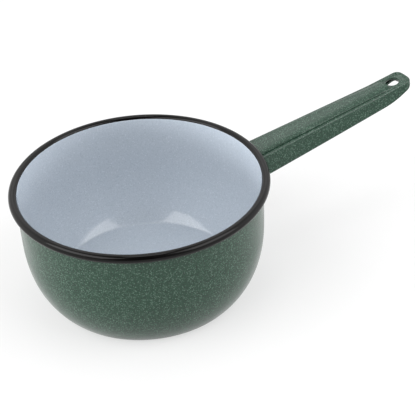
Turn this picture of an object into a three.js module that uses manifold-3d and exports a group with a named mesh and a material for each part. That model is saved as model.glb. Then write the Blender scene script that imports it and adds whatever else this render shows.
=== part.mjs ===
// Enamel saucepan: a drawn steel bowl with a curled rim, three coats of enamel fired on it,
// and a pressed steel channel handle welded to its wall.
//
// Millimetres and degrees, +Z up. The origin is the middle of the underside of the base, which
// stands on the table at Z = 0. The handle points along +X, and both sides of Y = 0 are alike.

import * as THREE from 'three';
import { mergeVertices } from 'three/addons/utils/BufferGeometryUtils.js';
import Module from 'manifold-3d';

// Sheet and enamel
const bowlSheet = 0.8;
const coat = 0.35;

// Bowl: the wall's outside diameter is taken at the middle of the rim's height
const potHeight = 82;
const wallDiameter = 161.6;
const wallDraft = 1;
const cornerHeight = 46;
const cornerReach = 15.7;
const heelLength = 3.6;
const heelAngle = 48.5;

// Curled rim
const beadWidth = 5.7;
const beadHeight = 5.5;
const blackStartAngle = 33;
const curlAngle = 280;

// Handle: the drop is from the bead's underside to the panel's top at the wall
const handleDrop = 1.6;
const handleLength = 133.7;
const handleTilt = 7.8;
const handleSheet = 1.5;
const rootWidth = 24.2;
const tipWidth = 17.8;
const rootDraft = 10;
const tipDraft = 22;
const rootDepth = 17.5;
const endDepth = 10.25;
const sweepLength = 26;
const sweepRise = 5.15;
const sweepLift = 1.6;
const tipRounding = 7.5;
const tipSquareness = 3.2;
const tipFlatShare = 0.3;

// Raised panel, groove and rounded shoulder along the handle's top, and the lips turned in below
const panelRise = 2.1;
const panelCrown = 0.3;
const panelEdgeWidth = 2.2;
const panelEdgeDrop = 1.4;
const panelEndFromTip = 18.4;
const panelStep = 1.2;
const tabDrop = 0.45;
const shoulderWidth = 2.7;
const shoulderRound = 2.4;
const grooveWidth = 0.6;
const grooveDepth = 0.6;
const lipRadius = 2;
const lipWidth = 3.6;
const leastHollow = 0.6;

// Hanging hole, a teardrop with its point towards the bowl
const holeRadius = 4.7;
const holePointReach = 5.2;
const holeFromTip = 11.7;

// Welds and fits
const weldLeg = 2.5;
const weldHollow = 0.35;
const weldEndInset = 1.5;
const fit = 0.3;

// Counts of facets
const turnSegments = 36;
const heelSteps = 2;
const cornerSteps = 6;
const curlSteps = 10;
const tipSteps = 7;
const edgeSteps = 2;
const holeSteps = 14;
const weldSteps = 6;

const wasm = await Module();
wasm.setup();

const { degToRad, lerp } = THREE.MathUtils;

// A closed geometry as a solid for cutting, and back again.
function solidOf(geometry) {
  const bare = geometry.clone();
  bare.deleteAttribute('normal');
  bare.deleteAttribute('uv');
  const merged = mergeVertices(bare, 1e-4);
  return new wasm.Manifold(new wasm.Mesh({
    numProp: 3,
    vertProperties: new Float32Array(merged.attributes.position.array),
    triVerts: new Uint32Array(merged.index.array),
  }));
}

function geometryOf(solid) {
  const mesh = solid.getMesh();
  const geometry = new THREE.BufferGeometry();
  geometry.setAttribute('position', new THREE.BufferAttribute(mesh.vertProperties, 3));
  geometry.setIndex(new THREE.BufferAttribute(mesh.triVerts, 1));
  geometry.computeVertexNormals();
  return geometry;
}

// A profile of radius and height turned about the Z axis.
function turned(profile) {
  const geometry = new THREE.LatheGeometry(profile, turnSegments);
  geometry.rotateX(Math.PI / 2);
  return geometry;
}

// A line moved sideways, to the right of its direction of travel when the distance is positive.
function offset(line, distance) {
  return line.map((point, i) => {
    const before = line[Math.max(i - 1, 0)];
    const after = line[Math.min(i + 1, line.length - 1)];
    const arrive = i === 0 ? after.clone().sub(point) : point.clone().sub(before);
    const leave = i === line.length - 1 ? arrive : after.clone().sub(point);
    arrive.normalize();
    const mean = arrive.clone().add(leave.clone().normalize()).normalize();
    const reach = distance / mean.dot(arrive);
    return new THREE.Vector2(point.x + mean.y * reach, point.y - mean.x * reach);
  });
}

// The bowl is drawn along the middle of its steel sheet, with half of the whole wall either side.
const half = coat + bowlSheet / 2;
const curlWidth = beadWidth / 2 - half;
const curlHeight = beadHeight / 2 - half;
const curlMiddle = potHeight - beadHeight / 2;
const wallSlope = Math.tan(degToRad(wallDraft));

function wallRadius(z) {
  return wallDiameter / 2 - half - (curlMiddle - z) * wallSlope;
}

function curlPoint(angle) {
  const turn = degToRad(180 - angle);
  return new THREE.Vector2(
    wallRadius(curlMiddle) + curlWidth * (1 + Math.cos(turn)),
    curlMiddle + curlHeight * Math.sin(turn),
  );
}

// Flat base, tight heel, full round corner, and the straight wall up to the start of the curl.
function bodyLine() {
  const baseEdge = new THREE.Vector2(wallRadius(cornerHeight) - cornerReach, half);
  const rising = new THREE.Vector2(Math.cos(degToRad(heelAngle)), Math.sin(degToRad(heelAngle)));
  const heelTop = baseEdge.clone().addScaledVector(rising, heelLength);
  const heel = new THREE.QuadraticBezierCurve(
    new THREE.Vector2(baseEdge.x - heelLength, half),
    baseEdge,
    heelTop,
  );
  const run = (wallRadius(heelTop.y) - heelTop.x) / (rising.x - rising.y * wallSlope);
  const corner = new THREE.QuadraticBezierCurve(
    heelTop,
    heelTop.clone().addScaledVector(rising, run),
    new THREE.Vector2(wallRadius(cornerHeight), cornerHeight),
  );
  return [
    new THREE.Vector2(0, half),
    ...heel.getPoints(heelSteps),
    ...corner.getPoints(cornerSteps).slice(1),
    curlPoint(0),
  ];
}

function blackLine() {
  const step = (curlAngle - blackStartAngle) / curlSteps;
  return Array.from({ length: curlSteps + 1 }, (_, i) => curlPoint(blackStartAngle + i * step));
}

const bodySheet = bodyLine();
const insideSheet = [...bodySheet, curlPoint(blackStartAngle / 2)];
const wholeSheet = [...insideSheet, ...blackLine()];
const lastBody = bodySheet.length - 1;
const firstBlack = insideSheet.length;
const lastBlack = wholeSheet.length - 1;

// The band between two offsets of the whole sheet, over the points from first to last.
function band(first, last, right, left) {
  const outer = offset(wholeSheet, right).slice(first, last + 1);
  const inner = offset(wholeSheet, left).slice(first, last + 1).reverse();
  const onAxis = first === 0;
  return onAxis ? [...outer, ...inner] : [...outer, ...inner, outer[0].clone()];
}

// The handle's end stands on the bare steel of the wall, a fit away from it.
function onWall(y, z) {
  return Math.sqrt((wallRadius(z) + bowlSheet / 2 + fit) ** 2 - y ** 2);
}

const rootTop = potHeight - beadHeight - handleDrop;
const rootX = onWall(0, rootTop);
const tipX = rootX + handleLength;

// The handle's top climbs in a straight line. Its end sweeps up, the lower edge most of all.
function straightTop(x) {
  return rootTop + (x - rootX) * Math.tan(degToRad(handleTilt));
}

function swept(x) {
  return Math.max(0, x - (tipX - sweepLength)) / sweepLength;
}

function underside(x) {
  const along = (x - rootX) / handleLength;
  return straightTop(x) - lerp(rootDepth, endDepth, along) + sweepRise * swept(x) ** 2;
}

function shoulderTop(x) {
  return straightTop(x) - panelRise + sweepLift * swept(x);
}

function grooveFloor(x) {
  return shoulderTop(x) - grooveDepth;
}

function onPanel(x) {
  return x < tipX - panelEndFromTip + panelStep / 2;
}

function halfWidth(x) {
  return lerp(rootWidth, tipWidth, (x - rootX) / handleLength) / 2;
}

function panelHalf(x) {
  return halfWidth(x) - shoulderWidth - grooveWidth;
}

// The channel's sides lean outwards as they go down from the rounded shoulder, most at the tip.
function sideHalf(x, z) {
  const draft = lerp(rootDraft, tipDraft, (x - rootX) / handleLength);
  const down = Math.max(0, shoulderTop(x) - shoulderRound - z);
  return halfWidth(x) + down * Math.tan(degToRad(draft));
}

// How much of the full width is left where the plan rounds off at the tip.
function tipShare(x, end) {
  const into = Math.min(1, Math.max(0, (x - (end - tipRounding)) / tipRounding));
  return Math.max(tipFlatShare, (1 - into ** tipSquareness) ** (1 / tipSquareness));
}

// The top between the grooves: the raised panel, or past its end the tab with the hanging hole.
function flatTop(x) {
  return onPanel(x) ? straightTop(x) - panelCrown : shoulderTop(x) - tabDrop;
}

// A quarter turn of an ellipse about a middle point, from a start angle.
function quarter(middleY, middleZ, reachY, reachZ, start) {
  return Array.from({ length: edgeSteps + 1 }, (_, i) => {
    const turn = degToRad(start + (90 * i) / edgeSteps);
    return [middleY + reachY * Math.cos(turn), middleZ + reachZ * Math.sin(turn)];
  });
}

// Half of the outside section, from the bottom lip up to the middle of the top.
function outsideHalf(x) {
  const width = halfWidth(x);
  const bottom = underside(x);
  const shoulder = shoulderTop(x);
  const top = flatTop(x);
  const skirt = shoulder - bottom;
  const lip = Math.min(lipRadius, skirt / 3);
  const round = Math.min(shoulderRound, skirt / 3);
  const edgeDrop = onPanel(x) ? panelEdgeDrop : grooveDepth - tabDrop;
  return [
    ...quarter(sideHalf(x, bottom + lip) - lipRadius, bottom + lip, lipRadius, lip, -90),
    ...quarter(width - shoulderRound, shoulder - round, shoulderRound, round, 0),
    [width - shoulderWidth, grooveFloor(x)],
    ...quarter(panelHalf(x) - panelEdgeWidth, top - edgeDrop, panelEdgeWidth, edgeDrop, 0),
    [0, onPanel(x) ? straightTop(x) : top],
  ];
}

// Half of the hollow inside the channel, open downwards between the two lips.
function insideHalf(x) {
  const inside = halfWidth(x) - handleSheet;
  const bottom = underside(x);
  const ceiling = grooveFloor(x) - handleSheet;
  const round = shoulderWidth / 2;
  const lip = Math.min(bottom + handleSheet, ceiling - leastHollow);
  const lowerHalf = sideHalf(x, lip);
  return [
    [lowerHalf - lipWidth, bottom - lipRadius],
    [lowerHalf - lipWidth, lip],
    [lowerHalf - handleSheet, lip],
    [inside, Math.max(ceiling - round, lip + leastHollow / 2)],
    [inside - round, ceiling],
    [panelHalf(x) - handleSheet, flatTop(x) - handleSheet],
    [0, flatTop(x) - handleSheet],
  ];
}

// A whole section from its half, with each point put along the handle by a rule.
function wholeLoop(halfSection, share, place) {
  const right = halfSection.map(([y, z]) => [y * share, z]);
  const left = right.filter(([y]) => y > 0).map(([y, z]) => [-y, z]).reverse();
  return [...right, ...left].map(([y, z]) => new THREE.Vector3(place(y, z), y, z));
}

// A solid through loops of points that all run the same way round, seen from +X.
function lofted(loops) {
  const count = loops[0].length;
  const triangles = [];
  for (let i = 0; i < loops.length - 1; i += 1) {
    for (let j = 0; j < count; j += 1) {
      const next = (j + 1) % count;
      const a = i * count + j;
      const b = i * count + next;
      const c = (i + 1) * count + next;
      const d = (i + 1) * count + j;
      triangles.push(a, b, d, b, c, d);
    }
  }
  // Each end is closed by a fan about a point between the lip and the middle of the top.
  const middleOf = (loop) => loop[1].clone().lerp(loop[(count - 1) / 2], 0.5).setY(0);
  const firstMiddle = loops.length * count;
  const lastStart = (loops.length - 1) * count;
  for (let j = 0; j < count; j += 1) {
    const next = (j + 1) % count;
    triangles.push(firstMiddle, next, j);
    triangles.push(firstMiddle + 1, lastStart + j, lastStart + next);
  }
  const points = [...loops.flat(), middleOf(loops[0]), middleOf(loops.at(-1))];
  const geometry = new THREE.BufferGeometry();
  geometry.setFromPoints(points);
  geometry.setIndex(triangles);
  return geometry;
}

// Places along the handle: the sweep, the step at the end of the panel, and the rounded tip.
function handleStations(end) {
  const sweepStart = tipX - sweepLength;
  const panelEnd = tipX - panelEndFromTip;
  const places = [sweepStart, (sweepStart + panelEnd) / 2, panelEnd, panelEnd + panelStep];
  for (let i = 0; i <= tipSteps; i += 1) {
    const eased = Math.sin((i / tipSteps) * (Math.PI / 2));
    places.push(end - tipRounding + tipRounding * eased);
  }
  return places;
}

function channelBody(halfSection, end, firstLoop) {
  const rest = handleStations(end).map((x) => (
    wholeLoop(halfSection(x), tipShare(x, end), () => x)
  ));
  return solidOf(lofted([firstLoop, ...rest]));
}

function handleChannel() {
  const hollowStart = rootX - rootWidth / 2;
  const outside = channelBody(outsideHalf, tipX, wholeLoop(outsideHalf(rootX), 1, onWall));
  const hollowFirst = wholeLoop(insideHalf(hollowStart), 1, () => hollowStart);
  const hollow = channelBody(insideHalf, tipX - handleSheet, hollowFirst);
  return geometryOf(outside.subtract(hollow).subtract(hangingHole()));
}

function hangingHole() {
  const centre = tipX - holeFromTip;
  const touch = Math.PI - Math.acos(holeRadius / holePointReach);
  const shape = new THREE.Shape();
  shape.moveTo(centre - holePointReach, 0);
  shape.absarc(centre, 0, holeRadius, -touch, touch, false);
  shape.closePath();
  const geometry = new THREE.ExtrudeGeometry(shape, {
    depth: straightTop(tipX) + rootDepth, bevelEnabled: false, curveSegments: holeSteps,
  });
  return solidOf(geometry);
}

// The window in the outer coat where bare steel takes the handle and its welds.
function rootWindow() {
  const top = rootTop + fit;
  const bottom = underside(rootX) - fit;
  const width = 2 * (sideHalf(rootX, bottom) + weldLeg + 2 * fit);
  const geometry = new THREE.BoxGeometry(rootX, width, top - bottom);
  geometry.translate(rootX, 0, (top + bottom) / 2);
  return solidOf(geometry);
}

// A fillet with a hollow face, drawn in a corner at the origin between +X and +Y.
function fillet(length) {
  const shape = new THREE.Shape();
  shape.moveTo(0, 0);
  shape.lineTo(weldLeg, 0);
  shape.quadraticCurveTo(weldLeg * weldHollow, weldLeg * weldHollow, 0, weldLeg);
  shape.closePath();
  return new THREE.ExtrudeGeometry(shape, {
    depth: length, bevelEnabled: false, curveSegments: weldSteps,
  });
}

// A side weld stands along the leaning wall, beside the channel's leaning side.
function sideWeld(side) {
  const bottom = underside(rootX) + weldEndInset;
  const top = shoulderTop(rootX) - shoulderRound;
  const height = top - bottom;
  const low = sideHalf(rootX, bottom) + fit;
  const high = sideHalf(rootX, top) + fit;
  const leanX = (onWall(high, top) - onWall(low, bottom)) / height;
  const leanY = (high - low) / height;
  const geometry = fillet(height);
  geometry.applyMatrix4(new THREE.Matrix4().makeShear(0, 0, 0, 0, leanX, leanY));
  geometry.translate(onWall(low, bottom), low, bottom);
  return side > 0 ? geometry : geometryOf(solidOf(geometry).mirror([0, 1, 0]));
}

// The inside weld lies across the wall, under the panel.
function insideWeld() {
  const length = 2 * (panelHalf(rootX) - handleSheet - weldEndInset);
  const geometry = fillet(length);
  geometry.rotateX(-Math.PI / 2);
  geometry.translate(rootX, -length / 2, flatTop(rootX) - handleSheet - fit);
  return geometry;
}

const steel = { color: 0x8b8f92, roughness: 0.45, metalness: 1 };
const greenEnamel = { color: 0x46574d, roughness: 0.18, metalness: 0 };
const greyEnamel = { color: 0xa3afba, roughness: 0.15, metalness: 0 };
const blackEnamel = { color: 0x191a1a, roughness: 0.12, metalness: 0 };

const saucepan = new THREE.Group();

function addPiece(name, geometry, finish) {
  const mesh = new THREE.Mesh(geometry, new THREE.MeshStandardMaterial(finish));
  mesh.name = name;
  saucepan.add(mesh);
}

const sheetFace = bowlSheet / 2;
const fullOuterCoat = turned(band(0, lastBody, half, sheetFace));
addPiece('steel_bowl', turned(band(0, lastBlack, sheetFace, -sheetFace)), steel);
addPiece('inner_enamel', turned(band(0, firstBlack, -sheetFace, -half)), greyEnamel);
addPiece('rim_enamel', turned(band(firstBlack, lastBlack, -sheetFace, -half)), blackEnamel);
addPiece('outer_enamel', geometryOf(solidOf(fullOuterCoat).subtract(rootWindow())), greenEnamel);
addPiece('handle_channel', handleChannel(), greenEnamel);
addPiece('root_weld_left', sideWeld(1), greenEnamel);
addPiece('root_weld_right', sideWeld(-1), greenEnamel);
addPiece('root_weld_inside', insideWeld(), greenEnamel);

export default saucepan;
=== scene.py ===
import math

import bmesh
import bpy
import numpy as np
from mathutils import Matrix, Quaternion, Vector


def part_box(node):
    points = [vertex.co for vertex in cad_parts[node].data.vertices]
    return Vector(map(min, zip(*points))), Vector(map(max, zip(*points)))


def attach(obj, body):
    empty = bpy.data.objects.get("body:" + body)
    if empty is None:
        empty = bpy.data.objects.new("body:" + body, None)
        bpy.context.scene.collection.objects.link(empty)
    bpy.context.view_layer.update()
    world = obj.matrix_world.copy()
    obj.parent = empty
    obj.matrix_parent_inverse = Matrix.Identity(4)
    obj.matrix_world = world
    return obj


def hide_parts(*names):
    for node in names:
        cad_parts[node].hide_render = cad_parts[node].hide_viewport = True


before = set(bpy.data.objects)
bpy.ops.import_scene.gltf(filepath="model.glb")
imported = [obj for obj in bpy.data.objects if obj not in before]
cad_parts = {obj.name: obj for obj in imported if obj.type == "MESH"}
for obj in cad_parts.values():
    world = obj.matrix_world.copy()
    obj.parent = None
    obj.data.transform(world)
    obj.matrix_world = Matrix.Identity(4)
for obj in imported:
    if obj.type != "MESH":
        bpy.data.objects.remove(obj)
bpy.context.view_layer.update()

# Steel bowl: one disc of sheet steel drawn into a deep bowl, its edge curled outwards into a hollow
# bead. Enamel covers both faces, so the bare metal only shows as the cut edge inside the curl.
pot_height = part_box("rim_enamel")[1].z
rim_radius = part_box("rim_enamel")[1].x
bowl_sheet = 0.0008
coat = 0.00035
bead_width = 0.0057
bead_height = 0.0055
wall_slope = math.tan(math.radians(1))
corner_height = 0.046
corner_reach = 0.0157
heel_length = 0.0018
heel_angle = math.radians(48.5)
curl_end = 280
black_start = 20
heel_steps = 10
corner_steps = 36
wall_steps = 8
curl_step = 3
black_points = 61
layer_crease = 40
seam_gap = 1e-6
steel_turn_steps = 144

half_wall = coat + bowl_sheet / 2
curl_width = bead_width / 2 - half_wall
curl_height = bead_height / 2 - half_wall
curl_middle = pot_height - bead_height / 2


def wall_radius(height):
    """Radius of the middle of the sheet on the straight part of the wall."""
    return rim_radius - half_wall - 2 * curl_width - (curl_middle - height) * wall_slope


def curl_point(angle):
    """A point on the curled edge, where 0 is the top of the wall and 90 the top of the bead."""
    turn = math.radians(180 - angle)
    return Vector((
        wall_radius(curl_middle) + curl_width * (1 + math.cos(turn)),
        curl_middle + curl_height * math.sin(turn),
    ))


def bend(start, pull, end, steps):
    """Points of a smooth bend that leaves start and meets end along the lines through pull."""
    shares = [i / steps for i in range(steps)]
    return [start.lerp(pull, t).lerp(pull.lerp(end, t), t) for t in shares]


base_edge = Vector((wall_radius(corner_height) - corner_reach, half_wall))
rising = Vector((math.cos(heel_angle), math.sin(heel_angle)))
heel_top = base_edge + rising * heel_length
corner_run = (wall_radius(heel_top.y) - heel_top.x) / (rising.x - rising.y * wall_slope)
wall_foot = Vector((wall_radius(corner_height), corner_height))
wall_top = curl_point(0)

body_line = [Vector((0, half_wall)), Vector((base_edge.x / 2, half_wall))]
body_line += bend(base_edge - Vector((heel_length, 0)), base_edge, heel_top, heel_steps)
body_line += bend(heel_top, heel_top + rising * corner_run, wall_foot, corner_steps)
body_line += [wall_foot.lerp(wall_top, i / wall_steps) for i in range(wall_steps + 1)]
inside_line = body_line + [curl_point(angle) for angle in range(curl_step, black_start, curl_step)]
black_line = [curl_point(angle) for angle in np.linspace(black_start, curl_end, black_points)]
sheet_line = inside_line + black_line


def square_to(points):
    """The direction square to a line at each of its points, to the right of its run."""
    steps = np.diff(points, axis=0)
    steps /= np.linalg.norm(steps, axis=1, keepdims=True)
    along = np.vstack((steps[:1], steps[:-1] + steps[1:], steps[-1:]))
    along /= np.linalg.norm(along, axis=1, keepdims=True)
    return np.column_stack((along[:, 1], -along[:, 0]))


def beside(line, distance):
    """The line moved sideways, out of the bowl where the distance is positive."""
    points = np.array(line)
    return points + distance * square_to(points)


def sheet_loop(first, last, outer, inner):
    """Cross-section of a layer of the wall, between two distances from the middle of the sheet."""
    outward = beside(sheet_line, outer)[first:last]
    inward = beside(sheet_line, inner)[first:last][::-1]
    loop = np.vstack((outward, inward))
    return loop if first == 0 else np.vstack((loop, outward[:1]))


def new_tree(name, kind, inputs, outputs):
    """A new node tree with its named inputs and outputs."""
    tree = bpy.data.node_groups.new(name, kind)
    for way, sockets in (("INPUT", inputs), ("OUTPUT", outputs)):
        for label, holds in sockets.items():
            tree.interface.new_socket(label, in_out=way, socket_type="NodeSocket" + holds)
    return tree


def add_node(tree, kind, feeds, **settings):
    """A new node in the tree, set up, with its inputs linked or filled."""
    node = tree.nodes.new(kind)
    for name, value in settings.items():
        setattr(node, name, value)
    for name, value in feeds.items():
        if isinstance(value, bpy.types.NodeSocket):
            tree.links.new(value, node.inputs[name])
        else:
            node.inputs[name].default_value = value
    return node


def maths(tree, operation, *terms):
    """The result of one sum in a node tree."""
    return add_node(tree, "ShaderNodeMath", dict(enumerate(terms)), operation=operation).outputs[0]


def ranged(tree, value, before, after, **settings):
    """A value carried over from one range to another."""
    feeds = {
        "Value": value,
        "From Min": before[0],
        "From Max": before[1],
        "To Min": after[0],
        "To Max": after[1],
    }
    return add_node(tree, "ShaderNodeMapRange", feeds, **settings).outputs[0]


def end_rule(tree, shape, finish, result):
    """The end of a rule's tree: smooth faces, real geometry and the finish."""
    smooth = add_node(tree, "GeometryNodeSetShadeSmooth", {"Geometry": shape})
    real = add_node(tree, "GeometryNodeRealizeInstances", {"Geometry": smooth.outputs[0]})
    coated = add_node(
        tree, "GeometryNodeSetMaterial", {"Geometry": real.outputs[0], "Material": finish},
    )
    add_node(tree, "NodeGroupOutput", {result: coated.outputs[0]})


# The rule of a turned layer: its cross-section is set round the axis once for each step of the turn.
turned_layer = new_tree(
    "turned_layer", "GeometryNodeTree",
    {"Section": "Geometry", "Turn Steps": "Int", "Finish": "Material"},
    {"Layer": "Geometry"},
)
layer_given = add_node(turned_layer, "NodeGroupInput", {}).outputs
section_size = add_node(
    turned_layer, "GeometryNodeAttributeDomainSize", {"Geometry": layer_given["Section"]},
)
section_points = section_size.outputs["Point Count"]
meridians = maths(turned_layer, "ADD", layer_given["Turn Steps"], 1.0)
lattice = add_node(
    turned_layer, "GeometryNodeMeshGrid", {"Vertices X": meridians, "Vertices Y": section_points},
)
which = add_node(turned_layer, "GeometryNodeInputIndex", {}).outputs[0]
turn_number = maths(turned_layer, "FLOOR", maths(turned_layer, "DIVIDE", which, section_points))
turn_part = maths(turned_layer, "DIVIDE", turn_number, layer_given["Turn Steps"])
turn_angle = maths(turned_layer, "MULTIPLY", turn_part, math.tau)
section_place = maths(turned_layer, "MODULO", which, section_points)
point_place = add_node(turned_layer, "GeometryNodeInputPosition", {}).outputs[0]
section_point = add_node(
    turned_layer, "GeometryNodeSampleIndex",
    {"Geometry": layer_given["Section"], "Value": point_place, "Index": section_place},
    data_type="FLOAT_VECTOR", domain="POINT",
)
turned_point = add_node(
    turned_layer, "ShaderNodeVectorRotate",
    {"Vector": section_point.outputs[0], "Angle": turn_angle}, rotation_type="Z_AXIS",
)
set_round = add_node(
    turned_layer, "GeometryNodeSetPosition",
    {"Geometry": lattice.outputs["Mesh"], "Position": turned_point.outputs[0]},
)
seamless = add_node(
    turned_layer, "GeometryNodeMergeByDistance",
    {"Geometry": set_round.outputs[0], "Distance": seam_gap},
)
end_rule(turned_layer, seamless.outputs[0], layer_given["Finish"], "Layer")


def new_piece(name, points, edges, faces):
    """A mesh object in the scene."""
    shape = bpy.data.meshes.new(name)
    shape.from_pydata(points, edges, faces)
    piece = bpy.data.objects.new(name, shape)
    bpy.context.scene.collection.objects.link(piece)
    return piece


def settled(piece):
    """The plain mesh that the piece's modifiers make, put in their place."""
    evaluated = piece.evaluated_get(bpy.context.evaluated_depsgraph_get())
    shape = bpy.data.meshes.new_from_object(evaluated)
    piece.modifiers.clear()
    piece.data = shape
    return shape


def face_outwards(shape):
    """Turns all faces of a closed mesh outwards."""
    faces = bmesh.new()
    faces.from_mesh(shape)
    bmesh.ops.recalc_face_normals(faces, faces=faces.faces)
    faces.to_mesh(shape)
    faces.free()


def made_by_rule(name, points, rule, values, crease):
    """A piece that a node tree makes from a line of points, as a plain mesh."""
    piece = new_piece(name, points, [(i, i + 1) for i in range(len(points) - 1)], [])
    maker = piece.modifiers.new(rule.name, "NODES")
    maker.node_group = rule
    for socket in rule.interface.items_tree:
        if socket.in_out == "INPUT" and socket.name in values:
            maker[socket.identifier] = values[socket.name]
    shape = settled(piece)
    face_outwards(shape)
    shape.set_sharp_from_angle(angle=math.radians(crease))
    return piece


def turned(name, loop, turn_steps, finish):
    """A layer of the wall, turned about the pan's axis."""
    points = [(radius, 0, height) for radius, height in loop]
    values = {"Turn Steps": turn_steps, "Finish": finish}
    return made_by_rule(name, points, turned_layer, values, layer_crease)


def new_material(name):
    """A new material with its node tree and its main shader."""
    material = bpy.data.materials.new(name)
    material.use_nodes = True
    return material, material.node_tree, material.node_tree.nodes["Principled BSDF"]


# Cold-rolled steel: grey, with the fine lines of drawing round the bowl.
steel_line_scale = (60, 60, 2500)
steel_line_detail = 3.0
steel_dark = (0.22, 0.225, 0.23, 1)
steel_pale = (0.36, 0.37, 0.38, 1)
steel_smoothest = 0.3
steel_dullest = 0.5
drawn_steel, steel_tree, steel = new_material("drawn_steel")
steel.inputs["Metallic"].default_value = 1.0
steel_place = add_node(steel_tree, "ShaderNodeTexCoord", {})
steel_stretch = add_node(
    steel_tree, "ShaderNodeMapping",
    {"Vector": steel_place.outputs["Object"], "Scale": steel_line_scale},
)
steel_lines = add_node(
    steel_tree, "ShaderNodeTexNoise",
    {"Vector": steel_stretch.outputs[0], "Scale": 1.0, "Detail": steel_line_detail},
).outputs[0]
steel_colour = add_node(steel_tree, "ShaderNodeValToRGB", {"Fac": steel_lines})
steel_colour.color_ramp.elements[0].color = steel_dark
steel_colour.color_ramp.elements[1].color = steel_pale
steel_gloss = ranged(steel_tree, steel_lines, (0.0, 1.0), (steel_smoothest, steel_dullest))
steel_tree.links.new(steel_colour.outputs[0], steel.inputs["Base Color"])
steel_tree.links.new(steel_gloss, steel.inputs["Roughness"])

steel_section = sheet_loop(0, len(sheet_line), bowl_sheet / 2, -bowl_sheet / 2)
drawn_bowl = turned("drawn_bowl", steel_section, steel_turn_steps, drawn_steel)
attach(drawn_bowl, "root")
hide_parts("steel_bowl")

# Handle: one blank of steel sheet pressed into a channel that is open below, with a raised panel along
# its top, a groove and a rounded shoulder round the panel, lips turned in below and a teardrop hole.
# Its root is welded to the wall, and it is enamelled green all round.
tip_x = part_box("handle_channel")[1].x
handle_drop = 0.0016
handle_length = 0.1337
handle_slope = math.tan(math.radians(7.8))
handle_sheet = 0.0015
root_width = 0.0242
tip_width = 0.0178
root_lean = 10
tip_lean = 22
root_depth = 0.0175
end_depth = 0.01025
sweep_length = 0.026
sweep_rise = 0.00515
sweep_lift = 0.0012
tip_rounding = 0.0075
tip_squareness = 3.2
panel_rise = 0.0017
panel_crown = 0.0003
panel_edge_root = 0.003
panel_edge_end = 0.0065
panel_drop_root = 0.00035
panel_drop_end = 0.0012
panel_end_from_tip = 0.0172
panel_step = 0.001
tab_drop = 0.00035
shoulder_width = 0.0027
shoulder_reach = 0.002
shoulder_round = 0.0026
groove_width = 0.0006
groove_depth = 0.0008
lip_radius = 0.002
lip_width = 0.0036
fine_reach = 0.006
long_points = 48
fine_points = 44
nose_samples = 600
nose_points = 42
bend_points = 7
skirt_points = 5
groove_points = 5
row_columns = 64
bends_in_skirt = 3
lean_fade = 3
root_reach = 2e-4
handle_crease = 50

root_x = tip_x - handle_length
root_top = pot_height - bead_height - handle_drop
panel_end = tip_x - panel_end_from_tip


def handle_top(x):
    """Height of the straight line along the top of the panel."""
    return root_top + (x - root_x) * handle_slope


def tapered(x, at_root, at_tip):
    """A size that changes evenly from the handle's root to its tip."""
    return at_root + (at_tip - at_root) * (x - root_x) / handle_length


def swept(x):
    """How far the end's upward sweep has gone, from 0 to 1 at the tip."""
    return np.maximum(0, x - (tip_x - sweep_length)) / sweep_length


def lower_edge(x):
    """Height of the lips below the channel."""
    return handle_top(x) - tapered(x, root_depth, end_depth) + sweep_rise * swept(x) ** 2


def shoulder_top(x):
    """Height of the rounded shoulder along both sides."""
    return handle_top(x) - panel_rise + sweep_lift * swept(x)


def skirt_lean(x):
    """How far the sides lean outwards for each unit down."""
    return np.tan(np.radians(tapered(x, root_lean, tip_lean)))


def handle_half_width(x):
    """Half of the width in plan, before the tip rounds off."""
    return tapered(x, root_width, tip_width) / 2


def on_wall(y, z, stand_off):
    """Distance along X to the wall's steel face, plus a stand-off."""
    return np.sqrt((wall_radius(z) + bowl_sheet / 2 + stand_off) ** 2 - y ** 2)


# The plan's left side runs from the root to the nose, with close points where the shape changes most.
fine_start = panel_end - fine_reach
tip_start = tip_x - tip_rounding
long_x = np.linspace(root_x, fine_start, long_points)
fine_x = np.linspace(fine_start, tip_start, fine_points)
side_x = np.concatenate((long_x[:-1], fine_x))
side = np.column_stack((side_x, handle_half_width(side_x)))
tip_turn = np.linspace(0, math.pi / 2, nose_samples)
tip_power = 2 / tip_squareness
nose_x = tip_start + tip_rounding * np.sin(tip_turn) ** tip_power
nose_y = handle_half_width(nose_x) * np.cos(tip_turn) ** tip_power
nose = np.column_stack((nose_x, nose_y))
nose_run = np.concatenate(([0], np.cumsum(np.linalg.norm(np.diff(nose, axis=0), axis=1))))
nose_even = np.linspace(0, nose_run[-1], nose_points)[1:]
nose = np.column_stack([np.interp(nose_even, nose_run, nose[:, k]) for k in (0, 1)])
left_side = np.vstack((side, nose))
right_side = left_side[-2::-1] * (1, -1)
plan = np.vstack((left_side, right_side))
plan_in = square_to(plan)


def inset_of(points):
    """Distance of each point in plan from the handle's edge."""
    starts = plan[:-1]
    spans = np.diff(plan, axis=0)
    apart = points[:, None, :] - starts[None, :, :]
    share = np.clip((apart * spans).sum(axis=2) / (spans ** 2).sum(axis=1), 0, 1)
    return np.linalg.norm(apart - share[:, :, None] * spans, axis=2).min(axis=1)


def eased(share):
    """A soft step from 0 to 1."""
    share = np.clip(share, 0, 1)
    return share * share * (3 - 2 * share)


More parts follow.
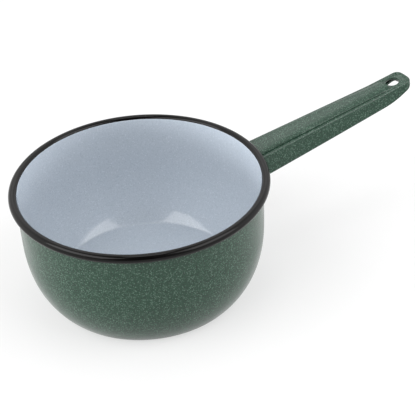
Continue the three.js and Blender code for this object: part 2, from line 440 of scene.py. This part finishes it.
def pressed_top(points):
    """Height of the pressed top: groove, panel with soft edges, and past its end the lower tab."""
    x, y = points[:, 0], points[:, 1]
    floor = shoulder_top(x) - groove_depth
    within = inset_of(points) - shoulder_width - groove_width
    wall = eased(within / groove_width + 1)
    softer = np.clip((x - root_x) / (panel_end - root_x), 0, 1) ** 2
    edge_width = panel_edge_root + (panel_edge_end - panel_edge_root) * softer
    edge_drop = panel_drop_root + (panel_drop_end - panel_drop_root) * softer
    edge_rise = 1 - (1 - np.clip(within / edge_width, 0, 1)) ** 2
    across = np.clip(y / (handle_half_width(x) - shoulder_width - groove_width), -1, 1)
    panel = wall * (handle_top(x) - panel_crown - floor - edge_drop)
    panel += edge_rise * (edge_drop + panel_crown * (1 - across ** 2))
    tab = wall * (groove_depth - tab_drop) * edge_rise
    step = eased((panel_end - x) / panel_step)
    return floor + tab + (panel - tab) * step


# Each ring of the sheet is the plan moved inwards, from the lips up the skirt and over the shoulder.
quarter = np.linspace(0, math.pi / 2, bend_points)
ring_inset = [lip_width, (lip_width + lip_radius) / 2]
ring_height = [("lip", 0), ("lip", 0)]
for turn in quarter:
    ring_inset.append(lip_radius * (1 - math.sin(turn)))
    ring_height.append(("lip", 1 - math.cos(turn)))
for share in np.linspace(0, 1, skirt_points)[1:-1]:
    ring_inset.append(0.0)
    ring_height.append(("skirt", share))
for turn in quarter:
    ring_inset.append(shoulder_reach * (1 - math.cos(turn)))
    ring_height.append(("shoulder", math.sin(turn)))
for share in np.linspace(0, 1, groove_points)[1:]:
    ring_inset.append(shoulder_reach + (shoulder_width - shoulder_reach) * share)
    ring_height.append(("groove", share))

# The skirt leans outwards along both sides and stands upright round the nose. Neither of its two bends
# takes more than a third of its height.
along_side = np.abs(plan_in[:, 1]) ** lean_fade
handle_points = []
for inset, (part, share) in zip(ring_inset, ring_height):
    ring = plan + plan_in * inset
    bottom = lower_edge(ring[:, 0])
    crest = shoulder_top(ring[:, 0])
    most_bend = (crest - bottom) / bends_in_skirt
    lip_rise = np.minimum(lip_radius, most_bend)
    round_drop = np.minimum(shoulder_round, most_bend)
    height = {
        "lip": bottom + lip_rise * share,
        "skirt": bottom + lip_rise + (crest - round_drop - bottom - lip_rise) * share,
        "shoulder": crest - round_drop * (1 - share),
        "groove": crest - groove_depth * eased(np.array(share)),
    }[part]
    lean = np.maximum(crest - round_drop - height, 0) * skirt_lean(ring[:, 0]) * along_side
    handle_points.append(np.column_stack((ring - plan_in * lean[:, None], height)))
ring_count = len(handle_points)
plan_count = len(plan)
side_count = len(left_side)
handle_faces = []
for ring in range(ring_count - 1):
    for place in range(plan_count - 1):
        low = ring * plan_count + place
        handle_faces.append((low, low + plan_count, low + plan_count + 1, low + 1))

# Rows across the top fill the innermost ring, closing on its point at the nose.
last_ring = (ring_count - 1) * plan_count
inner_ring = handle_points[-1][:, :2]
row_shares = np.linspace(0, 1, row_columns + 1)[1:-1]
rows = []
for place in range(side_count - 1):
    start, stop = inner_ring[place], inner_ring[plan_count - 1 - place]
    rows.append(start + (stop - start) * row_shares[:, None])
filling = np.vstack(rows)
handle_points.append(np.column_stack((filling, pressed_top(filling))))
filling_start = ring_count * plan_count


def row_point(place, column):
    """Number of a point on a row across the top."""
    if place == side_count - 1 or column == 0:
        return last_ring + place
    if column == row_columns:
        return last_ring + plan_count - 1 - place
    return filling_start + place * (row_columns - 1) + column - 1


for place in range(side_count - 1):
    for column in range(row_columns):
        corners = [
            row_point(place, column), row_point(place, column + 1),
            row_point(place + 1, column + 1), row_point(place + 1, column),
        ]
        handle_faces.append(list(dict.fromkeys(corners)))
handle_points = np.vstack(handle_points)
at_root = np.isclose(handle_points[:, 0], root_x, atol=root_reach)
handle_points[at_root, 0] = on_wall(handle_points[at_root, 1], handle_points[at_root, 2], 0.0)
pressed_handle = new_piece("pressed_handle", handle_points.tolist(), [], handle_faces)

# The hole is punched square to the tab, with its edges eased by the enamel. Each step of the punch has
# its height over the tab and how far it flares past the hole's outline.
hole_radius = 0.0047
hole_point_reach = 0.0053
hole_from_tip = 0.0117
hole_points = 49
hole_flare = [
    (0.004, 0.0011), (0.0007, 0.00055), (0.0, 0.00012), (-0.00035, 0.0),
    (-0.0011, 0.0), (-0.0015, 0.00012), (-0.0022, 0.00055), (-0.006, 0.0011),
]
hole_centre = tip_x - hole_from_tip
hole_level = float(shoulder_top(np.array(hole_centre))) - tab_drop
hole_lean = handle_slope + sweep_lift / sweep_length
hole_touch = math.pi - math.acos(hole_radius / hole_point_reach)
hole_outline = [(-hole_point_reach, 0.0)]
for turn in np.linspace(-hole_touch, hole_touch, hole_points):
    hole_outline.append((hole_radius * math.cos(turn), hole_radius * math.sin(turn)))
punch_points = []
for lift, flare in hole_flare:
    wider = 1 + flare / hole_radius
    for along, across in hole_outline:
        shift = along * wider
        punch_x = hole_centre + shift - lift * hole_lean
        punch_z = hole_level + lift + shift * hole_lean
        punch_points.append((punch_x, across * wider, punch_z))
punch_count = len(hole_outline)
punch_end = (len(hole_flare) - 1) * punch_count
punch_faces = [list(range(punch_count))]
for low in range(0, punch_end, punch_count):
    high = low + punch_count
    for place in range(punch_count):
        after = (place + 1) % punch_count
        punch_faces.append((low + place, high + place, high + after, low + after))
punch_faces.append([punch_end + place for place in range(punch_count)][::-1])
punch = new_piece("hole_punch", punch_points, [], punch_faces)
face_outwards(punch.data)

thickness = pressed_handle.modifiers.new("sheet", "SOLIDIFY")
thickness.thickness = handle_sheet
thickness.offset = -1.0
thickness.use_even_offset = False
cutting = pressed_handle.modifiers.new("hole", "BOOLEAN")
cutting.operation = "DIFFERENCE"
cutting.solver = "EXACT"
cutting.object = punch
handle_shape = settled(pressed_handle)
bpy.data.objects.remove(punch)
handle_shape.polygons.foreach_set("use_smooth", [True] * len(handle_shape.polygons))
handle_shape.set_sharp_from_angle(angle=math.radians(handle_crease))

# Speckled enamel is sprayed in two shades: small pale specks of many sizes lie on a ground with darker
# mottling. The smallest and largest specks are shares of the size that each enamel sets.
speck_sizes = (0.3, 0.75)
mottle_range = (0.42, 0.7)
mottle_detail = 3.0
mottle_roughness = 0.6
enamel_specks = new_tree(
    "enamel_specks", "ShaderNodeTree",
    {
        "Place": "Vector", "Speck Size": "Float", "Pale Share": "Float",
        "Ground": "Color", "Pale": "Color", "Dark": "Color",
    },
    {"Colour": "Color"},
)
speck_given = add_node(enamel_specks, "NodeGroupInput", {}).outputs
speck_scale = maths(enamel_specks, "DIVIDE", 1.0, speck_given["Speck Size"])
speck_cells = add_node(
    enamel_specks, "ShaderNodeTexVoronoi", {"Vector": speck_given["Place"], "Scale": speck_scale},
).outputs
speck_chance = add_node(
    enamel_specks, "ShaderNodeSeparateColor", {"Color": speck_cells["Color"]},
).outputs
speck_picked = maths(enamel_specks, "LESS_THAN", speck_chance["Red"], speck_given["Pale Share"])
speck_reach = ranged(enamel_specks, speck_chance["Green"], (0.0, 1.0), speck_sizes)
speck_round = ranged(
    enamel_specks, speck_cells["Distance"], (0.0, speck_reach), (1.0, 0.0),
    interpolation_type="SMOOTHSTEP",
)
speck_mask = maths(enamel_specks, "MULTIPLY", speck_round, speck_picked)
mottle = add_node(
    enamel_specks, "ShaderNodeTexNoise",
    {
        "Vector": speck_given["Place"], "Scale": speck_scale,
        "Detail": mottle_detail, "Roughness": mottle_roughness,
    },
).outputs[0]
mottle_share = ranged(
    enamel_specks, mottle, mottle_range, (0.0, 1.0), interpolation_type="SMOOTHSTEP",
)
ground_mottled = add_node(
    enamel_specks, "ShaderNodeMix",
    {0: mottle_share, 6: speck_given["Ground"], 7: speck_given["Dark"]}, data_type="RGBA",
)
ground_specked = add_node(
    enamel_specks, "ShaderNodeMix",
    {0: speck_mask, 6: ground_mottled.outputs[2], 7: speck_given["Pale"]}, data_type="RGBA",
)
add_node(enamel_specks, "NodeGroupOutput", {"Colour": ground_specked.outputs[2]})

# Fired enamel settles into a faint orange-peel skin, and its gloss varies a little from place to place.
dimple_detail = 2.0
patch_scale = 55.0
patch_detail = 4.0
patch_range = (0.3, 0.7)
enamel_skin = new_tree(
    "enamel_skin", "ShaderNodeTree",
    {"Place": "Vector", "Dimple Size": "Float", "Smoothest": "Float", "Dullest": "Float"},
    {"Height": "Float", "Roughness": "Float"},
)
skin_given = add_node(enamel_skin, "NodeGroupInput", {}).outputs
skin_scale = maths(enamel_skin, "DIVIDE", 1.0, skin_given["Dimple Size"])
skin_dimples = add_node(
    enamel_skin, "ShaderNodeTexNoise",
    {"Vector": skin_given["Place"], "Scale": skin_scale, "Detail": dimple_detail},
).outputs[0]
skin_patches = add_node(
    enamel_skin, "ShaderNodeTexNoise",
    {"Vector": skin_given["Place"], "Scale": patch_scale, "Detail": patch_detail},
).outputs[0]
skin_gloss = ranged(
    enamel_skin, skin_patches, patch_range, (skin_given["Smoothest"], skin_given["Dullest"]),
)
add_node(enamel_skin, "NodeGroupOutput", {"Height": skin_dimples, "Roughness": skin_gloss})


def enamel(name, specks, skin, dimple_depth, specular):
    """A fired enamel with its own specks and skin."""
    material, tree, shine = new_material(name)
    place = add_node(tree, "ShaderNodeTexCoord", {}).outputs["Object"]
    colour = add_node(tree, "ShaderNodeGroup", {}, node_tree=enamel_specks)
    surface = add_node(tree, "ShaderNodeGroup", {}, node_tree=enamel_skin)
    for group, values in ((colour, specks), (surface, skin)):
        tree.links.new(place, group.inputs["Place"])
        for label, value in values.items():
            group.inputs[label].default_value = value
    dimples = add_node(
        tree, "ShaderNodeBump",
        {"Height": surface.outputs["Height"], "Distance": dimple_depth, "Strength": 1.0},
    )
    tree.links.new(colour.outputs["Colour"], shine.inputs["Base Color"])
    tree.links.new(surface.outputs["Roughness"], shine.inputs["Roughness"])
    tree.links.new(dimples.outputs[0], shine.inputs["Normal"])
    shine.inputs["Specular IOR Level"].default_value = specular
    return material


green_enamel = enamel(
    "green_enamel",
    {
        "Speck Size": 0.00095,
        "Pale Share": 0.85,
        "Ground": (0.0085, 0.0355, 0.0195, 1),
        "Pale": (0.078, 0.134, 0.1005, 1),
        "Dark": (0.003, 0.019, 0.01, 1),
    },
    {"Dimple Size": 0.0022, "Smoothest": 0.18, "Dullest": 0.26},
    dimple_depth=0.00006,
    specular=0.42,
)
handle_shape.materials.clear()
handle_shape.materials.append(green_enamel)
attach(pressed_handle, "root")
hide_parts("handle_channel")

# Welds: beads of weld metal in the corners between the handle's root and the wall, one down each side
# and one across under the panel. They are enamelled over with the wall.
weld_leg = 0.0025
weld_end_inset = 0.0015
weld_points = 9
weld_crease = 60
radius_share = 0.64
stand_share = 0.36
bead_radius = weld_leg * radius_share
bead_stand = weld_leg * stand_share
bead_steps = 64
bead_sides = 20
ripple_length = 0.0016
ripple_width = (0.94, 1.0)
taper_width = (1.0, 0.2)
taper_power = 8.0

# The rule of a bead: a round section follows the path, with small ripples and narrow ends.
weld_bead = new_tree(
    "weld_bead", "GeometryNodeTree",
    {"Path": "Geometry", "Bead Radius": "Float", "Ripple Length": "Float", "Finish": "Material"},
    {"Bead": "Geometry"},
)
weld_given = add_node(weld_bead, "NodeGroupInput", {}).outputs
weld_path = add_node(weld_bead, "GeometryNodeMeshToCurve", {"Mesh": weld_given["Path"]})
weld_even = add_node(
    weld_bead, "GeometryNodeResampleCurve", {"Curve": weld_path.outputs[0], "Count": bead_steps},
)
weld_run = add_node(weld_bead, "GeometryNodeSplineParameter", {}).outputs
weld_waves = maths(weld_bead, "DIVIDE", weld_run["Length"], weld_given["Ripple Length"])
weld_wave = maths(weld_bead, "SINE", maths(weld_bead, "MULTIPLY", weld_waves, math.tau))
weld_ripple = ranged(weld_bead, weld_wave, (-1.0, 1.0), ripple_width)
weld_centre = ranged(weld_bead, weld_run["Factor"], (0.0, 1.0), (-1.0, 1.0))
weld_end = maths(weld_bead, "POWER", weld_centre, taper_power)
weld_taper = ranged(weld_bead, weld_end, (0.0, 1.0), taper_width)
weld_width = maths(weld_bead, "MULTIPLY", weld_ripple, weld_taper)
weld_round = add_node(
    weld_bead, "GeometryNodeCurvePrimitiveCircle",
    {"Resolution": bead_sides, "Radius": weld_given["Bead Radius"]},
)
weld_body = add_node(
    weld_bead, "GeometryNodeCurveToMesh",
    {
        "Curve": weld_even.outputs[0], "Profile Curve": weld_round.outputs[0],
        "Scale": weld_width, "Fill Caps": True,
    },
)
end_rule(weld_bead, weld_body.outputs[0], weld_given["Finish"], "Bead")

weld_low = float(lower_edge(np.array(root_x))) + weld_end_inset
weld_high = float(shoulder_top(np.array(root_x))) - shoulder_round
weld_paths = {}
for side_name, side_sign in (("left", 1), ("right", -1)):
    weld_paths[side_name] = []
    for z in np.linspace(weld_low, weld_high, weld_points):
        weld_y = side_sign * (root_width / 2 + bead_stand + (weld_high - z) * skirt_lean(root_x))
        weld_x = float(on_wall(weld_y, z, bead_stand))
        weld_paths[side_name].append((weld_x, float(weld_y), float(z)))
under_panel = root_top - panel_crown - handle_sheet
inside_reach = root_width / 2 - shoulder_width - groove_width - handle_sheet - weld_end_inset
weld_paths["inside"] = [
    (float(on_wall(y, under_panel, bead_stand)), float(y), under_panel - bead_stand)
    for y in np.linspace(-inside_reach, inside_reach, weld_points)
]
bead_values = {"Bead Radius": bead_radius, "Ripple Length": ripple_length, "Finish": green_enamel}
for weld_name, path in weld_paths.items():
    bead = made_by_rule("weld_bead_" + weld_name, path, weld_bead, bead_values, weld_crease)
    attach(bead, "root")
    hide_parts("root_weld_" + weld_name)

# Green coat: the speckled enamel over the outside of the wall and under the base. It was fired on after
# the handle was welded, so it runs up to the handle's root.
coat_turn_steps = 256
green_section = sheet_loop(0, len(body_line), half_wall, bowl_sheet / 2)
green_coat = turned("green_coat", green_section, coat_turn_steps, green_enamel)
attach(green_coat, "root")
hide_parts("outer_enamel")

# Grey coat: glossy blue-grey enamel fired on the inside of the bowl, from the base up to the black of
# the rim, with specks so fine that they read as a grain.
grey_enamel = enamel(
    "grey_enamel",
    {
        "Speck Size": 0.0009,
        "Pale Share": 0.25,
        "Ground": (0.402, 0.445, 0.497, 1),
        "Pale": (0.512, 0.555, 0.607, 1),
        "Dark": (0.342, 0.385, 0.437, 1),
    },
    {"Dimple Size": 0.005, "Smoothest": 0.09, "Dullest": 0.13},
    dimple_depth=0.00005,
    specular=0.5,
)
grey_section = sheet_loop(0, len(inside_line) + 1, -bowl_sheet / 2, -half_wall)
grey_coat = turned("grey_coat", grey_section, coat_turn_steps, grey_enamel)
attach(grey_coat, "root")
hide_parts("inner_enamel")

# Black rim: glossy black enamel over the rolled bead, from inside the mouth round to below it. It is put
# on as a band of its own and fired on the steel.
black_enamel = enamel(
    "black_enamel",
    {
        "Speck Size": 0.0012,
        "Pale Share": 0.06,
        "Ground": (0.0016, 0.0014, 0.0013, 1),
        "Pale": (0.008, 0.007, 0.0065, 1),
        "Dark": (0.001, 0.0008, 0.0008, 1),
    },
    {"Dimple Size": 0.003, "Smoothest": 0.05, "Dullest": 0.08},
    dimple_depth=0.00004,
    specular=0.2,
)
black_section = sheet_loop(len(inside_line), len(sheet_line), -bowl_sheet / 2, -half_wall)
black_rim = turned("black_rim", black_section, coat_turn_steps, black_enamel)
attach(black_rim, "root")
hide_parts("rim_enamel")

# Table: a wide dull white surface that the pan stands on. To the camera and in reflections it is partly
# a plain white, so that the background stays white and keeps the pan's soft shadow.
table_reach = 15.0
table_grey = (0.66, 0.66, 0.66, 1)
table_white_share = 0.55
table_corners = [(-1, -1), (1, -1), (1, 1), (-1, 1)]
table_points = [(x * table_reach, y * table_reach, 0) for x, y in table_corners]
table = new_piece("white_table", table_points, [], [(0, 1, 2, 3)])
table_white, table_tree, table_paint = new_material("table_white")
table_paint.inputs["Base Color"].default_value = table_grey
table_paint.inputs["Roughness"].default_value = 1.0
table_paint.inputs["Specular IOR Level"].default_value = 0.0
table_glow = add_node(table_tree, "ShaderNodeEmission", {"Color": (1, 1, 1, 1), "Strength": 1.0})
table_ray = add_node(table_tree, "ShaderNodeLightPath", {})
table_seen = 0.0
for ray in ("Is Camera Ray", "Is Glossy Ray", "Is Transmission Ray"):
    table_seen = maths(table_tree, "MAXIMUM", table_ray.outputs[ray], table_seen)
table_share = maths(table_tree, "MULTIPLY", table_seen, table_white_share)
table_mix = add_node(
    table_tree, "ShaderNodeMixShader",
    {0: table_share, 1: table_paint.outputs[0], 2: table_glow.outputs[0]},
)
table_tree.links.new(table_mix.outputs[0], table_tree.nodes["Material Output"].inputs["Surface"])
table.data.materials.append(table_white)

# Studio light: a soft room that is pale at the sides and behind the pan, with seven soft boxes: two high
# ones and two low ones at the sides, one in front, one behind and a small one above. The low ones and
# the front one only fill, so they are kept out of the reflections.
scene = bpy.context.scene
scene.view_settings.view_transform = "Standard"
view_turn = math.radians(-28)
view_right = Vector((math.cos(view_turn), math.sin(view_turn), 0))
view_ahead = Vector((-math.sin(view_turn), math.cos(view_turn), 0))
overhead = Vector((0, 0, 1))

# Each side of the room has its brightness at the table's height and what is added on the way up.
room_sides = (
    (view_right, 1.6, 2.0),
    (-view_right, 1.6, 2.4),
    (view_ahead, 0.8, 2.0),
    (-view_ahead, 0.05, 0.12),
)
zenith_level = 0.1
room = bpy.data.worlds.new("studio_room")
room.use_nodes = True
scene.world = room
room_tree = room.node_tree
room_way = add_node(room_tree, "ShaderNodeTexCoord", {}).outputs["Generated"]


def room_along(axis):
    """How far a direction in the room points along an axis."""
    share = add_node(
        room_tree, "ShaderNodeVectorMath", {0: room_way, 1: axis}, operation="DOT_PRODUCT",
    )
    return share.outputs["Value"]


room_up = room_along(overhead)
room_rise = maths(room_tree, "MULTIPLY", room_up, room_up)
room_level = 0.0
for axis, low, climb in room_sides:
    part = maths(room_tree, "MAXIMUM", room_along(axis), 0.0)
    part_square = maths(room_tree, "MULTIPLY", part, part)
    level = maths(room_tree, "MULTIPLY_ADD", room_rise, climb, low)
    room_level = maths(room_tree, "MULTIPLY_ADD", part_square, level, room_level)
room_level = maths(room_tree, "MULTIPLY_ADD", room_rise, zenith_level, room_level)
room_shade = room_tree.nodes["Background"]
room_shade.inputs["Color"].default_value = (1, 1, 1, 1)
room_tree.links.new(room_level, room_shade.inputs["Strength"])

# Each soft box has its direction (to the right, ahead, up), its width, height and power for a distance
# of one metre, and whether reflections show it.
box_distance = 4.4
soft_boxes = (
    ("left_high", (-0.6, -0.36, 0.72), 0.91, 0.64, 5.8, True),
    ("right_high", (0.62, -0.28, 0.74), 0.73, 0.64, 4.1, True),
    ("left_low", (-0.93, -0.35, 0.1), 1.0, 0.18, 8.0, False),
    ("right_low", (0.98, 0.0, 0.1), 1.0, 0.18, 4.5, False),
    ("front_high", (0, -0.75, 0.66), 0.8, 0.5, 1.8, False),
    ("back_high", (0, 0.6, 0.8), 0.73, 0.73, 1.25, True),
    ("top", (0, 0.1, 0.99), 0.27, 0.27, 0.83, True),
)
for box_name, (aside, forward, upward), wide, tall, watts, mirrored in soft_boxes:
    lamp = bpy.data.lights.new("soft_box_" + box_name, "AREA")
    lamp.shape = "RECTANGLE"
    lamp.size = wide * box_distance
    lamp.size_y = tall * box_distance
    lamp.energy = watts * box_distance ** 2
    holder = bpy.data.objects.new("soft_box_" + box_name, lamp)
    way = (view_right * aside + view_ahead * forward + overhead * upward).normalized()
    holder.location = way * box_distance
    holder.rotation_euler = way.to_track_quat("Z", "Y").to_euler()
    holder.visible_glossy = mirrored
    scene.collection.objects.link(holder)

# Camera: a long lens in front of the bowl, about 35 degrees above the table and tilted a little, with
# the handle pointing away to the right. Its focal length is measured in pixels of the photograph.
camera_elevation = math.radians(34.612)
camera_roll = math.radians(-3.287)
aim_right = 0.04045
aim_up = 0.04892
camera_distance = 0.82392
sensor_width = 36.0
focal_pixels = 1200
photo_pixels = 415
lens = bpy.data.cameras.new("photo_camera")
lens.sensor_width = sensor_width
lens.lens = sensor_width * focal_pixels / photo_pixels
looking = view_ahead * math.cos(camera_elevation) - overhead * math.sin(camera_elevation)
held = looking.to_track_quat("-Z", "Y") @ Quaternion((0, 0, 1), camera_roll)
camera = bpy.data.objects.new("photo_camera", lens)
camera.rotation_euler = held.to_euler()
camera.location = held @ Vector((aim_right, aim_up, camera_distance))
scene.collection.objects.link(camera)
scene.camera = camera
